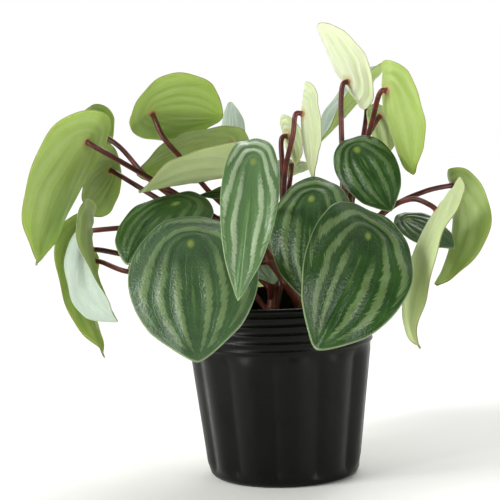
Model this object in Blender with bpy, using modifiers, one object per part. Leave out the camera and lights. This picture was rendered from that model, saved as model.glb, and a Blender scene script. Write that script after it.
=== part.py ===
"""Potted watermelon peperomia: a bushy plant with shield-shaped leaves in a thin moulded pot.

The origin is the centre of the pot's underside, +Z is up and -Y is the front. Lengths are in
millimetres in the tables below and are turned into metres where a mesh is made.
"""

import math
from typing import NamedTuple

import bmesh
import bpy
import numpy as np
from mathutils import Vector

MM = 0.001

# Pot
POT_HEIGHT = 80
LIP_RADIUS = 45
COLLAR_RADIUS = 43.2        # under the lip
COLLAR_FOOT_RADIUS = 41.8
COLLAR_FOOT_HEIGHT = 61
RING_COUNT = 4              # rounded beads around the collar
RING_HEIGHT = 0.5
WALL_RADIUS = 40.8          # just under the collar
BASE_RADIUS = 34
BASE_ROUND = 3              # the rounded edge at the bottom
WALL_THICKNESS = 1.2
LOBE_COUNT = 12
LOBE_DEPTH = 2.0            # from the bottom of a groove to the crown of a lobe
LOBE_TURN = math.radians(22.5)
GROOVE_SHARE = 0.6          # share of that depth that lies inside the mean wall
WALL_ROWS = 5
POT_STEPS = 48
DRAIN_COUNT = 6
DRAIN_RADIUS = 3
DRAIN_RING = 21

# Soil
SOIL_CLEARANCE = 0.4
SOIL_EDGE_HEIGHT = 62
SOIL_MOUND = 2.5            # how much the middle stands above the edge
SOIL_WAVE = 0.7
SOIL_STEPS = 32
SOIL_RINGS = 5

# Stems and stalks
STEM_RADIUS = 2.5
STEM_KNOB = 0.35            # how much a leaf scar swells a stem
STEM_POINTS = 12
STEM_HOLE_RADIUS = 3.8
STEM_HOLE_FLOOR = 46
STALK_RADIUS = 1.35
STALK_POINTS = 9
STALK_RUN_IN = 3.5          # the last stretch runs straight at the blade
STALK_GAP = 0.6             # between a stalk's end and the blade

# Blades
BLADE_THICKNESS = 1.0
BLADE_SPOKES = 20
BLADE_RINGS = (0.4, 0.75, 1.0)
FOLD_REACH = 0.05           # share of the length in which a fold opens beside the midrib
CUP_REACH = 0.4
TIP_START = 0.8             # share of the length where the point starts
TIP_PULL = 0.3
WAVE_HEIGHT = 0.012         # waviness of the edge as a share of the length
WAVE_COUNT = 5

BLACK_PLASTIC = ("black plastic", (0.012, 0.012, 0.013), 0.38)
DARK_SOIL = ("dark soil", (0.016, 0.011, 0.008), 0.95)
RED_STALK = ("red-brown stalk", (0.110, 0.028, 0.022), 0.5)
GREEN_LEAF = ("striped green leaf", (0.060, 0.170, 0.055), 0.45)

# Three short stems. Each is a list of points that it passes through, from the soil upwards.
STEMS = {
    "left": [(13, -10, 48), (11, -10, 72), (3, -10, 88), (-6, -10, 102), (-11, -9, 112)],
    "right": [(24, 4, 48), (25, 3, 72), (28, 0, 90), (30, -3, 102)],
    "back": [(-2, 20, 48), (-3, 21, 74), (0, 23, 92), (3, 25, 104)],
}


class Leaf(NamedTuple):
    """One leaf. Angles are degrees; base, breadth and taper are shares of the blade's length."""

    stem: str           # the stem that its stalk grows from
    rise: float         # how far up that stem, 0 to 1
    stalk: list         # points that the stalk passes through on its way to the blade
    joint: tuple        # where the stalk meets the blade's underside
    tip: tuple          # the point of the blade
    facing: tuple       # where the upper side looks
    breadth: float      # greatest width
    bend: float = 40    # how much the midrib turns down from base to tip
    cup: float = 0      # how much each half turns down towards its edge
    fold: float = 0     # how much each half stands up beside the midrib
    curl: float = 0     # extra turn near the tip
    base: float = 0.27  # how much of the blade lies behind the joint
    taper: float = 0.16  # a larger value moves the greatest width towards the base


LEAVES = {
    # left side
    "leaf_01": Leaf("left", 0.85, [(-47, 8, 129)],
                 (-83, -10, 153), (-105, -30, 101), (-0.7, 0.7, 0.2), 0.46,
                 bend=42, fold=26, base=0.2, taper=0.3),
    "leaf_02": Leaf("left", 0.8, [(-46, 10, 121)],
                 (-77, 29, 139), (-88, 9, 125), (-0.85, 0.45, 0.25), 1.1, cup=15, base=0.2),
    "leaf_03": Leaf("left", 0.9, [(-30, -6, 117), (-57, 15, 134), (-72, 28, 150)],
                 (-84, 33, 158), (-98, 17, 134), (-0.8, 0.5, 0.3), 0.8, cup=15),
    "leaf_04": Leaf("left", 0.72, [(-45, 0, 92), (-69, 9, 93)],
                 (-86, 22, 97), (-86, 15, 85), (-0.8, 0.5, 0.3), 0.6, bend=30, cup=15),
    "leaf_05": Leaf("left", 0.75, [(-50, -10, 99)],
                 (-82, -18, 106), (-70, -42, 77), (-0.9, -0.25, 0.1), 0.62, fold=35, base=0.38),
    "leaf_06": Leaf("left", 0.82, [(-55, 5, 113)],
                 (-91, 14, 112), (-80, 0, 55), (-0.85, 0.4, 0.2), 0.46,
                 bend=35, fold=20, base=0.12, taper=0.4),
    # upper left
    "leaf_07": Leaf("back", 0.85, [(-29, 21, 126), (-40, 11, 141), (-50, 5, 154)],
                 (-55, 12, 165), (-23, 22, 162), (-0.1, 0.7, 0.7), 1,
                 bend=30, cup=10, fold=15, base=0.23, taper=0.05),
    "leaf_08": Leaf("back", 0.9, [(-10, 26, 128)],
                 (-20, 32, 150), (-64, 28, 136), (0, 0.5, 0.85), 0.88, bend=25, cup=15, base=0.16),
    "leaf_09": Leaf("left", 0.95, [(-20, -5, 122)],
                 (-20, -2, 136), (-60, -22, 131), (-0.15, 0.4, 0.9), 0.66, bend=5, fold=30, base=0.25),
    "leaf_10": Leaf("back", 0.6, [(-14, 48, 116)],
                 (-21, 60, 146), (-20, 66, 169), (-0.75, -0.3, 0.3), 0.9, bend=10, cup=10),
    "leaf_11": Leaf("left", 1, [],
                 (-10, 7, 128), (-34, 5, 127), (0, -0.35, 0.95), 0.5, bend=20, cup=15),
    # front
    "leaf_12": Leaf("left", 0.9, [(-28, -15, 114)],
                 (-44, -23, 125), (-65, -46, 102), (-0.15, -0.5, 0.8), 0.76, bend=45, cup=25),
    "leaf_13": Leaf("left", 1, [(-4, -30, 128)],
                 (-10, -56, 143), (-18, -82, 89), (0.05, -0.95, 0.2), 0.31,
                 bend=50, fold=10, base=0.2, taper=0.28),
    "leaf_14": Leaf("left", 0.8, [(-22, -32, 103)],
                 (-37, -54, 110), (-35, -77, 64), (-0.05, -0.88, 0.5), 0.8, bend=45, cup=20, base=0.24),
    "leaf_15": Leaf("back", 0.4, [(-6, 14, 98)],
                 (-8, 6, 102), (-2, 0, 86), (0.1, -0.8, 0.5), 0.7, cup=20),
    "leaf_16": Leaf("left", 0.7, [(-30, 10, 103)],
                 (-56, 30, 106), (-70, 20, 91), (-0.5, 0.5, 0.6), 0.8, cup=20),
    "leaf_17": Leaf("right", 0.7, [(20, -10, 112)],
                 (15, -22, 125), (12, -48, 83), (-0.2, -0.85, 0.5), 0.56, bend=45, cup=25, base=0.23),
    "leaf_18": Leaf("right", 0.6, [(34, -25, 104)],
                 (37, -48, 110), (13, -74, 67), (0.4, -0.75, 0.45), 0.66, bend=45, fold=10, base=0.22),
    # right side
    "leaf_19": Leaf("right", 0.95, [(32, 6, 128)],
                 (37, 0, 145), (50, -16, 118), (-0.1, -0.8, 0.5), 0.62, bend=45, cup=20, base=0.22),
    "leaf_20": Leaf("right", 0.5, [(46, 2, 102)],
                 (60, 8, 112), (79, -5, 100), (0.1, -0.7, 0.7), 0.56, bend=20, cup=10, base=0.2),
    "leaf_21": Leaf("right", 0.85, [(48, -10, 118), (60, -14, 123)],
                 (70, -18, 118), (58, -44, 61), (0.85, 0.4, 0.3), 0.37,
                 bend=-40, fold=26, curl=-35, base=0.22),
    "leaf_22": Leaf("right", 0.8, [(50, 4, 117), (68, 8, 125)],
                 (82, 12, 127), (71, -4, 83), (0.85, 0.45, 0.2), 0.62, bend=50, fold=34, base=0.14),
    # upper right
    "leaf_23": Leaf("right", 1, [(31, 12, 140)],
                 (35, 15, 176), (23, 22, 203), (0.8, 0.6, 0.2), 0.58,
                 bend=-25, fold=40, base=0.33, taper=0.02),
    "leaf_24": Leaf("right", 0.95, [(38, 14, 134), (44, 7, 155)],
                 (51, -4, 171), (62, 0, 133), (0.8, 0.6, 0.2), 0.56, bend=-40, fold=40, base=0.25),
    "leaf_25": Leaf("right", 0.85, [(38, 12, 140)],
                 (50, 22, 160), (53, 28, 142), (0.6, 0.7, 0.3), 0.6, cup=15),
    "leaf_26": Leaf("right", 0.95, [(34, 20, 126), (42, 38, 146)],
                 (43, 48, 169), (22, 40, 148), (-0.2, 0, 0.97), 0.52, bend=-10, fold=50, base=0.4),
    "leaf_27": Leaf("back", 1, [(5, 17, 136), (9, 13, 153)],
                 (14, 15, 162), (18, 18, 133), (0.92, 0.4, 0.1), 0.45, bend=-40, fold=40, base=0.33),
    "leaf_28": Leaf("back", 0.95, [(4, 30, 136)],
                 (7, 35, 152), (11, 38, 138), (0.7, 0.6, 0.3), 0.6, bend=-20, fold=30, base=0.4),
    "leaf_29": Leaf("back", 0.7, [(6, 42, 120)],
                 (9, 50, 139), (3, 68, 131), (0, 0.5, 0.8), 0.7, bend=30, cup=15),
    # far side
    "leaf_30": Leaf("back", 0.5, [(-26, 34, 102)],
                 (-48, 46, 112), (-64, 74, 92), (-0.3, 0.6, 0.7), 0.78, cup=20),
    "leaf_31": Leaf("back", 0.4, [(-8, 46, 102)],
                 (-18, 68, 108), (-22, 96, 78), (0, 0.8, 0.6), 0.8, bend=45, cup=22),
    "leaf_32": Leaf("back", 0.5, [(12, 40, 104)],
                 (24, 58, 114), (34, 84, 84), (0.2, 0.8, 0.6), 0.76, bend=45, cup=20),
    "leaf_33": Leaf("right", 0.4, [(34, 20, 98)],
                 (44, 38, 104), (58, 60, 80), (0.5, 0.6, 0.6), 0.72, cup=20),
    "leaf_34": Leaf("back", 0.2, [(2, 40, 83)],
                 (2, 64, 80), (0, 84, 58), (0, 0.8, 0.6), 0.74, cup=20),
    "leaf_35": Leaf("back", 0.3, [(-22, 32, 88)],
                 (-44, 44, 84), (-58, 60, 66), (-0.4, 0.6, 0.6), 0.74, cup=20),
}


def new_collection(name):
    """A collection in the scene."""
    made = bpy.data.collections.new(name)
    bpy.context.scene.collection.children.link(made)
    return made


def material(name, colour, roughness):
    """A Principled material of one colour."""
    made = bpy.data.materials.new(name)
    made.use_nodes = True
    shader = made.node_tree.nodes["Principled BSDF"]
    shader.inputs["Base Color"].default_value = (*colour, 1)
    shader.inputs["Roughness"].default_value = roughness
    shader.inputs["Metallic"].default_value = 0
    made.diffuse_color = (*colour, 1)
    return made


def mesh_object(name, points, edges, faces, collection):
    """An object from points in millimetres."""
    mesh = bpy.data.meshes.new(name)
    mesh.from_pydata([tuple(point) for point in np.asarray(points) * MM], edges, faces)
    made = bpy.data.objects.new(name, mesh)
    collection.objects.link(made)
    return made


def applied(source, collection):
    """A plain, welded mesh object of what a curve or a modifier stack makes; the source is removed."""
    bpy.context.view_layer.update()
    evaluated = source.evaluated_get(bpy.context.evaluated_depsgraph_get())
    mesh = bpy.data.meshes.new_from_object(evaluated)
    place = source.matrix_world.copy()
    name = source.name
    bpy.data.objects.remove(source)
    shape = bmesh.new()
    shape.from_mesh(mesh)
    bmesh.ops.remove_doubles(shape, verts=shape.verts, dist=0.01 * MM)
    shape.to_mesh(mesh)
    shape.free()
    mesh.name = name
    made = bpy.data.objects.new(name, mesh)
    made.matrix_world = place
    collection.objects.link(made)
    return made


def turned(name, profile, steps, collection):
    """A body turned from a profile of (radius, height) that ends on the axis at both ends."""
    points = [(radius, 0, height) for radius, height in profile]
    edges = [(i, i + 1) for i in range(len(points) - 1)]
    made = mesh_object(name, points, edges, [], collection)
    screw = made.modifiers.new("turn", "SCREW")
    screw.steps = steps
    screw.render_steps = steps
    return applied(made, collection)


def cutter(name, radius, start, end, sides, collection):
    """A closed cylinder between two points, hidden from the render."""
    axis = Vector(end) - Vector(start)
    shape = bmesh.new()
    bmesh.ops.create_cone(shape, cap_ends=True, segments=sides, radius1=radius * MM,
                          radius2=radius * MM, depth=axis.length * MM)
    mesh = bpy.data.meshes.new(name)
    shape.to_mesh(mesh)
    shape.free()
    made = bpy.data.objects.new(name, mesh)
    made.rotation_euler = axis.to_track_quat("Z", "Y").to_euler()
    made.location = (Vector(start) + Vector(end)) * 0.5 * MM
    made.hide_render = True
    made.display_type = "WIRE"
    collection.objects.link(made)


def boolean(target, operation, tools):
    """A Boolean with every object of a collection."""
    change = target.modifiers.new(operation.lower(), "BOOLEAN")
    change.operation = operation
    change.operand_type = "COLLECTION"
    change.collection = tools
    change.solver = "EXACT"


def along(start, end, first_knot, last_knot, t):
    """The point at t on the line from start at first_knot to end at last_knot."""
    return start + (end - start) * (t - first_knot) / (last_knot - first_knot)


def smooth_path(points, count):
    """Points of the centripetal Catmull-Rom curve that passes through the given points."""
    p = np.array(points, float)
    p = np.vstack([2 * p[0] - p[1], p, 2 * p[-1] - p[-2]])
    steps = np.sqrt(np.linalg.norm(np.diff(p, axis=0), axis=1))
    knots = np.concatenate([[0], np.cumsum(steps)])
    path = []
    for t in np.linspace(knots[1], knots[-2], count):
        i = min(max(int(np.searchsorted(knots, t, side="right")) - 2, 0), len(p) - 4)
        k = knots[i:i + 4]
        a = along(p[i], p[i + 1], k[0], k[1], t)
        b = along(p[i + 1], p[i + 2], k[1], k[2], t)
        c = along(p[i + 2], p[i + 3], k[2], k[3], t)
        a = along(a, b, k[0], k[2], t)
        b = along(b, c, k[1], k[3], t)
        path.append(along(a, b, k[1], k[2], t))
    return np.array(path)


def tube(name, path, radii, sides, collection):
    """A closed round tube along a path, as a mesh."""
    curve = bpy.data.curves.new(name, "CURVE")
    curve.dimensions = "3D"
    curve.bevel_depth = MM
    curve.bevel_resolution = sides // 2 - 2
    curve.use_fill_caps = True
    spline = curve.splines.new("POLY")
    spline.points.add(len(path) - 1)
    for point, place, radius in zip(spline.points, path * MM, radii):
        point.co = (*place, 1)
        point.radius = radius
    made = bpy.data.objects.new(name, curve)
    collection.objects.link(made)
    return applied(made, collection)


def wall_radius(height):
    """Mean outer radius of the pot's tapering wall."""
    return np.interp(height, (BASE_ROUND, COLLAR_FOOT_HEIGHT - 1), (BASE_RADIUS, WALL_RADIUS))


def collar_radius(height):
    """Outer radius of the collar between its beads."""
    beaded = np.interp(height, (COLLAR_FOOT_HEIGHT, POT_HEIGHT), (COLLAR_FOOT_RADIUS, COLLAR_RADIUS))
    return beaded - RING_HEIGHT


def pot_profile():
    """The pot's half section: floor, inner wall upwards, lip, and the outer wall down to the axis."""
    heights = np.linspace(BASE_ROUND + 2, COLLAR_FOOT_HEIGHT - 3, WALL_ROWS)
    inner_wall = [(wall_radius(z) - WALL_THICKNESS, z) for z in heights]
    inner_collar = collar_radius(COLLAR_FOOT_HEIGHT) - WALL_THICKNESS
    section = [(0, WALL_THICKNESS), (BASE_RADIUS - BASE_ROUND, WALL_THICKNESS)]
    section += inner_wall
    section += [(inner_collar, COLLAR_FOOT_HEIGHT + 1)]
    section += [(inner_collar + 1, POT_HEIGHT - 4)]
    section += [(LIP_RADIUS - 1.6, POT_HEIGHT - 1), (LIP_RADIUS - 1, POT_HEIGHT)]
    section += [(LIP_RADIUS - 0.3, POT_HEIGHT - 0.4), (LIP_RADIUS, POT_HEIGHT - 1.2)]
    section += [(LIP_RADIUS - 0.2, POT_HEIGHT - 2.6), (collar_radius(POT_HEIGHT - 3), POT_HEIGHT - 3)]
    pitch = (POT_HEIGHT - 4 - COLLAR_FOOT_HEIGHT) / RING_COUNT
    for ring in range(RING_COUNT):
        bead = POT_HEIGHT - 4.6 - ring * pitch
        section += [(collar_radius(bead + 1), bead + 1), (collar_radius(bead) + RING_HEIGHT, bead)]
        section += [(collar_radius(bead - 1), bead - 1)]
    section += [(COLLAR_FOOT_RADIUS, COLLAR_FOOT_HEIGHT), (WALL_RADIUS, COLLAR_FOOT_HEIGHT - 1)]
    section += [(wall_radius(z), z) for z in heights[::-1]]
    section += [(BASE_RADIUS - 0.3 * BASE_ROUND, 0.3 * BASE_ROUND), (BASE_RADIUS - BASE_ROUND, 0)]
    return section + [(0, 0)]


def press_lobes(made):
    """Presses upright lobes into the wall, alike inside and outside, with narrow grooves between them."""
    edges = (BASE_ROUND, BASE_ROUND + 2, COLLAR_FOOT_HEIGHT - 3, COLLAR_FOOT_HEIGHT - 1)
    for vertex in made.data.vertices:
        x, y, z = vertex.co / MM
        if math.hypot(x, y) > BASE_RADIUS - BASE_ROUND:
            share = np.interp(z, edges, (0, 1, 1, 0))
            lobe = abs(math.sin(LOBE_COUNT * (math.atan2(y, x) - LOBE_TURN) / 2))
            push = LOBE_DEPTH * share * (lobe - GROOVE_SHARE)
            grow = 1 + push / math.hypot(x, y)
            vertex.co.x *= grow
            vertex.co.y *= grow


def build_pot(collection, cutters):
    """The moulded pot: one shell, with drain holes near the edge of its floor."""
    made = turned("pot", pot_profile(), POT_STEPS, collection)
    press_lobes(made)
    for hole in range(DRAIN_COUNT):
        angle = 2 * math.pi * hole / DRAIN_COUNT
        x = DRAIN_RING * math.cos(angle)
        y = DRAIN_RING * math.sin(angle)
        cutter("drain", DRAIN_RADIUS, (x, y, -2), (x, y, WALL_THICKNESS + 2), 10, cutters)
    boolean(made, "DIFFERENCE", cutters)
    return made


def soil_profile():
    """The soil's half section: its mounded top, its side and its underside."""
    floor = WALL_THICKNESS + SOIL_CLEARANCE
    loss = WALL_THICKNESS + GROOVE_SHARE * LOBE_DEPTH + SOIL_CLEARANCE
    edge = wall_radius(SOIL_EDGE_HEIGHT) - loss
    shares = np.linspace(0, 1, SOIL_RINGS + 1)
    section = [(edge * s, SOIL_EDGE_HEIGHT + SOIL_MOUND * (1 - s * s)) for s in shares]
    section += [(wall_radius(BASE_ROUND + 2) - loss, BASE_ROUND + 2)]
    return section + [(BASE_RADIUS - BASE_ROUND - 2, floor), (0, floor)]


def build_soil(collection, cutters):
    """The soil that fills the pot, with an uneven top and a plain blind hole for each stem."""
    made = turned("soil", soil_profile(), SOIL_STEPS, collection)
    for vertex in made.data.vertices:
        x, y, z = vertex.co / MM
        if z > SOIL_EDGE_HEIGHT - 1:
            vertex.co.z += SOIL_WAVE * MM * (math.sin(0.31 * x + 1) + math.sin(0.37 * y + 0.2 * x)) / 2
    for points in STEMS.values():
        start = Vector(points[0])
        lean = (Vector(points[1]) - start) / (points[1][2] - start.z)
        foot = start + lean * (STEM_HOLE_FLOOR - start.z)
        top = start + lean * (SOIL_EDGE_HEIGHT + 10 - start.z)
        cutter("stem_hole", STEM_HOLE_RADIUS, foot, top, 12, cutters)
    boolean(made, "DIFFERENCE", cutters)
    return made


def running_integral(values, spacing):
    """Trapezoid integral of equally spaced values, zero at the first."""
    return np.concatenate([[0], np.cumsum((values[1:] + values[:-1]) / 2 * spacing)])


def blade_outline(leaf):
    """The flat outline for a blade 1 long: across and along, from the base round to the tip and back."""
    turn = np.linspace(0, 2 * np.pi, BLADE_SPOKES, endpoint=False)
    share = (1 - np.cos(turn)) / 2
    across = np.sin(turn) * (1 - share) ** leaf.taper
    across *= leaf.breadth / 2 / np.abs(across).max()
    point = np.clip((share - TIP_START) / (1 - TIP_START), 0, 1)
    across *= 1 - TIP_PULL * point ** 1.2
    return turn, across, share - leaf.base


def bent_blade(leaf, phase):
    """The arched blade 1 long with its joint at the origin, and the normal there.

    The midrib lies in the YZ plane and turns down along its length. Each half follows one curve
    across: up beside the midrib by the fold and down towards the edge by the cup.
    """
    length = np.linspace(-leaf.base, 1 - leaf.base, 201)
    spacing = length[1] - length[0]
    slope = math.radians(leaf.bend) * length
    slope += math.radians(leaf.curl) * np.clip(length / (1 - leaf.base), 0, 1) ** 3
    rib_y = running_integral(np.cos(slope), spacing)
    rib_z = running_integral(-np.sin(slope), spacing)
    rib_y -= np.interp(0, length, rib_y)
    rib_z -= np.interp(0, length, rib_z)

    reach = np.linspace(0, 0.6, 121)
    tilt = math.radians(leaf.fold) * (1 - np.exp(-reach / FOLD_REACH))
    tilt -= math.radians(leaf.cup) * reach / CUP_REACH
    half_x = running_integral(np.cos(tilt), reach[1])
    half_z = running_integral(np.sin(tilt), reach[1])

    turn, across, forward = blade_outline(leaf)
    rings = np.array(BLADE_RINGS)[:, None]
    across = np.append(0, rings * across)
    forward = np.append(0, rings * forward)
    wave = WAVE_HEIGHT * np.append(0, rings ** 3 * np.sin(WAVE_COUNT * turn + phase))
    x = np.sign(across) * np.interp(np.abs(across), reach, half_x)
    height = np.interp(np.abs(across), reach, half_z) + wave
    lean = np.interp(forward, length, slope)
    y = np.interp(forward, length, rib_y) + height * np.sin(lean)
    z = np.interp(forward, length, rib_z) + height * np.cos(lean)

    drop = math.atan2(rib_z[-1], rib_y[-1])
    cosine = math.cos(drop)
    sine = math.sin(drop)
    points = np.stack([x, y * cosine + z * sine, z * cosine - y * sine], axis=1)
    return points / math.hypot(rib_y[-1], rib_z[-1]), np.array([0, sine, cosine])


def placed_blade(leaf, phase):
    """The blade's points in millimetres, and the normal of its upper side at the joint."""
    joint = np.array(leaf.joint, float)
    forward = np.array(leaf.tip) - joint
    size = np.linalg.norm(forward)
    forward /= size
    upward = np.array(leaf.facing) - np.dot(leaf.facing, forward) * forward
    upward /= np.linalg.norm(upward)
    axes = np.array([np.cross(forward, upward), forward, upward])
    points, normal = bent_blade(leaf, phase)
    return joint + size * points @ axes, normal @ axes


def blade_faces():
    """Triangles of the blade's rings: a fan at the joint and split quads outwards."""
    faces = []
    for spoke in range(BLADE_SPOKES):
        after = (spoke + 1) % BLADE_SPOKES
        faces.append((0, 1 + spoke, 1 + after))
        for ring in range(len(BLADE_RINGS) - 1):
            start = 1 + ring * BLADE_SPOKES
            inner = (start + spoke, start + after)
            outer = (inner[0] + BLADE_SPOKES, inner[1] + BLADE_SPOKES)
            faces.append((inner[0], outer[1], inner[1]))
            faces.append((inner[0], outer[0], outer[1]))
    return faces


def build_blade(name, leaf, phase, collection):
    """One blade as an arched sheet of even thickness; returns it and the stalk's last points."""
    points, normal = placed_blade(leaf, phase)
    made = mesh_object(name, points, [], blade_faces(), collection)
    thick = made.modifiers.new("thickness", "SOLIDIFY")
    thick.thickness = BLADE_THICKNESS * MM
    thick.offset = 0
    joint = np.array(leaf.joint)
    end = BLADE_THICKNESS / 2 + STALK_GAP
    return made, [joint - normal * STALK_RUN_IN, joint - normal * end]


def stem_radii():
    """A stem thins a little upwards and swells at every second point, where old leaves fell."""
    steps = np.arange(STEM_POINTS)
    return STEM_RADIUS * (1 - 0.15 * steps / STEM_POINTS) + STEM_KNOB * (steps % 2)


def build_stem(name, stalks, collection, loose):
    """One stem with its stalks, joined in one body."""
    made = tube("stem_" + name, smooth_path(STEMS[name], STEM_POINTS), stem_radii(), 8, collection)
    for index, (leaf, ends) in enumerate(stalks):
        spine = smooth_path(STEMS[name], 101)
        start = spine[round(leaf.rise * 100)]
        path = smooth_path([start, *leaf.stalk, *ends], STALK_POINTS)
        tube("stalk_%02d" % index, path, [STALK_RADIUS] * STALK_POINTS, 6, loose)
    boolean(made, "UNION", loose)
    joined = applied(made, collection)
    for stalk in list(loose.objects):
        bpy.data.objects.remove(stalk)
    return joined


def finish(made, look):
    """One material, and smooth shading except at sharp edges."""
    made.data.materials.clear()
    made.data.materials.append(look)
    made.data.shade_smooth()
    made.data.set_sharp_from_angle(angle=math.radians(40))


def main():
    for old in list(bpy.data.objects):
        bpy.data.objects.remove(old)
    plant = new_collection("potted peperomia")
    drains = new_collection("drain cutters")
    holes = new_collection("stem hole cutters")
    loose = new_collection("loose stalks")

    finish(build_pot(plant, drains), material(*BLACK_PLASTIC))
    finish(build_soil(plant, holes), material(*DARK_SOIL))
    green = material(*GREEN_LEAF)
    stalks = {name: [] for name in STEMS}
    for number, (name, leaf) in enumerate(LEAVES.items()):
        blade, ends = build_blade(name, leaf, 2.4 * number, plant)
        finish(blade, green)
        stalks[leaf.stem].append((leaf, ends))
    red = material(*RED_STALK)
    for name in STEMS:
        finish(build_stem(name, stalks[name], plant, loose), red)


main()
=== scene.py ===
# %% [markdown]
# # Potted watermelon peperomia
#
# A small foliage plant in a thin nursery pot. Its leaves are shields: each blade is carried on a
# dark red stalk that joins it from below, some way in from the edge. The upper side is dark green
# with silver bands like a watermelon's rind, and the underside is pale and lets light through.
#
# The construction gives the places and sizes. This script gives each part its fine surface and its
# finish. We load that frame; the pot's size is read from its box.

# %% Load the frame
import math

import bpy
import numpy as np
from mathutils import Matrix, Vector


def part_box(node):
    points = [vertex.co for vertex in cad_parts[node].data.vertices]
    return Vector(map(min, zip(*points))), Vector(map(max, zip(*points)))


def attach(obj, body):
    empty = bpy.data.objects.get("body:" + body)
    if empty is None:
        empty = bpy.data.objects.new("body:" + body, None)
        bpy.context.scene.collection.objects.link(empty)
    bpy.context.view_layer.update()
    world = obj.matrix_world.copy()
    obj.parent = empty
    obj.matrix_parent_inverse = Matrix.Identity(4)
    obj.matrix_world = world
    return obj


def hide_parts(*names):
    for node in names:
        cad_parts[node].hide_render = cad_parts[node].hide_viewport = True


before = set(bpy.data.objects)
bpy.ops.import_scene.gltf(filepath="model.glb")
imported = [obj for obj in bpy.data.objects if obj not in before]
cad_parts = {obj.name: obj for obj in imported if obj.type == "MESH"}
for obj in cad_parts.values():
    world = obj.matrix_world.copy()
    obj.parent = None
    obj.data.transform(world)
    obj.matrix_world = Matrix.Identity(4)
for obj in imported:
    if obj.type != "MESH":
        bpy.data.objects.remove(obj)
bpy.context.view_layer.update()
MM = 0.001

# %% [markdown]
# ## The camera
#
# A product picture of a small plant is taken with a long lens from a little above the rim. The
# camera could be turned with Euler angles, but three unit vectors, right, up and back, say the same
# thing more plainly: they are the columns of its matrix. A small roll tips the horizon slightly.
# The lights will be stood up by the same function.

# %% Camera
CAMERA_PLACE = np.array([-12.5, -680, 163])  # mm
PITCH = math.radians(5.15)  # looking down
ROLL = math.radians(2)
LENS, SENSOR = 109, 36  # mm


def add_object(name, data):
    """A new object in the scene, at the origin."""
    made = bpy.data.objects.new(name, data)
    bpy.context.scene.collection.objects.link(made)
    return made


def unit(vectors):
    """Vectors divided by their lengths."""
    return vectors / np.linalg.norm(vectors, axis=-1, keepdims=True)


def set_up(thing, place, back, roll=0):
    """Stands a camera or light at a place in mm; it looks away from back, and is then rolled."""
    right = unit(np.cross([0, 0, 1], back))
    up = np.cross(back, right)
    matrix = np.eye(4)
    matrix[:3] = np.column_stack([
        math.cos(roll) * right - math.sin(roll) * up,
        math.sin(roll) * right + math.cos(roll) * up, back, np.array(place) * MM])
    thing.matrix_world = Matrix(matrix.tolist())


camera = add_object("camera", bpy.data.cameras.new("camera"))
camera.data.lens = LENS
camera.data.sensor_width = SENSOR
set_up(camera, CAMERA_PLACE, np.array([0, -math.cos(PITCH), math.sin(PITCH)]), ROLL)
bpy.context.scene.camera = camera
print("camera at", CAMERA_PLACE.tolist(), "mm with a", LENS, "mm lens")

# %% [markdown]
# ## Helpers for materials
#
# Colours are written as the hex values that a paint program shows. Those are sRGB, while the shader
# wants linear light, so one function converts them. One more function adds a node with its settings
# and fills its inputs in order, with plain values or with what an earlier call gave back. A nested
# line of such calls reads like a formula, so no kind of node needs a helper of its own. Paint goes
# on in layers, as it does by hand: one loop lays a list of glazes on.

# %% Colour and node helpers
def linear(hex_colour):
    """sRGB hex to linear RGBA: c / 12.92 up to 0.04045, ((c + 0.055) / 1.055) ** 2.4 above it."""
    channels = np.array([int(hex_colour[i:i + 2], 16) for i in (1, 3, 5)]) / 255
    light = np.where(channels <= 0.04045, channels / 12.92, ((channels + 0.055) / 1.055) ** 2.4)
    return (*light.tolist(), 1)


def add_node(tree, kind, *inputs, output=0, **settings):
    """Adds a node with its settings, fills its shown inputs in order and returns one shown output.

    An input is a plain value, a hex colour, an earlier output to link, or None to leave it alone.
    """
    node = tree.nodes.new("ShaderNode" + kind)
    for key, value in settings.items():
        setattr(node, key, value)
    for socket, value in zip([socket for socket in node.inputs if socket.enabled], inputs):
        if isinstance(value, bpy.types.NodeSocket):
            tree.links.new(value, socket)
        elif value is not None:
            socket.default_value = linear(value) if isinstance(value, str) else value
    return [socket for socket in node.outputs if socket.enabled][output]


COLOURS = {"data_type": "RGBA"}  # a Mix of colours
SMOOTH = {"interpolation_type": "SMOOTHSTEP"}  # a MapRange that eases in and out


def glazed(tree, colour, glazes):
    """Lays each (share, strength, hex colour) over the colour so far, mixed by share * strength."""
    for share, strength, glaze in glazes:
        amount = add_node(tree, "Math", share, strength, operation="MULTIPLY")
        colour = add_node(tree, "Mix", amount, colour, glaze, **COLOURS)
    return colour


def new_material(name, roughness, settings):
    """A material with only a Principled shader, whose constant sockets are set on it directly."""
    made = bpy.data.materials.new(name)
    made.use_nodes = True
    shader = made.node_tree.nodes["Principled BSDF"]
    shader.inputs["Roughness"].default_value = roughness
    for key, value in settings.items():
        shader.inputs[key].default_value = value
    return made, made.node_tree, shader


print("brown of potting mix in linear light:", np.round(linear("#2A1F17")[:3], 4).tolist())

# %% [markdown]
# ## Helpers for surfaces
#
# Every new piece is a grid of points worked out as one array: rows by columns by three. A closed
# ring of columns makes a tube, and a fan of triangles closes each end where it narrows to a pole.
# A surface is handed on as three arrays: points, quads and triangles.

# %% Grid surfaces
def full_turn(count):
    """Equal steps of angle round a circle."""
    return np.linspace(0, 2 * np.pi, count, endpoint=False)


def grid_faces(rows, columns):
    """Quads of a grid whose columns close into rings; rows run away from the first ring."""
    row, column = np.meshgrid(np.arange(rows - 1), np.arange(columns), indexing="ij")
    after = (column + 1) % columns
    here = row * columns
    below = here + columns
    sides = np.stack([here + column, below + column, below + after, here + after], axis=-1)
    return sides.reshape(-1, 4)


def fan_faces(pole, ring_start, columns):
    """Triangles from a pole to each side of a ring."""
    column = np.arange(columns)
    after = (column + 1) % columns
    return np.stack([np.full(columns, pole), ring_start + column, ring_start + after], axis=1)


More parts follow.
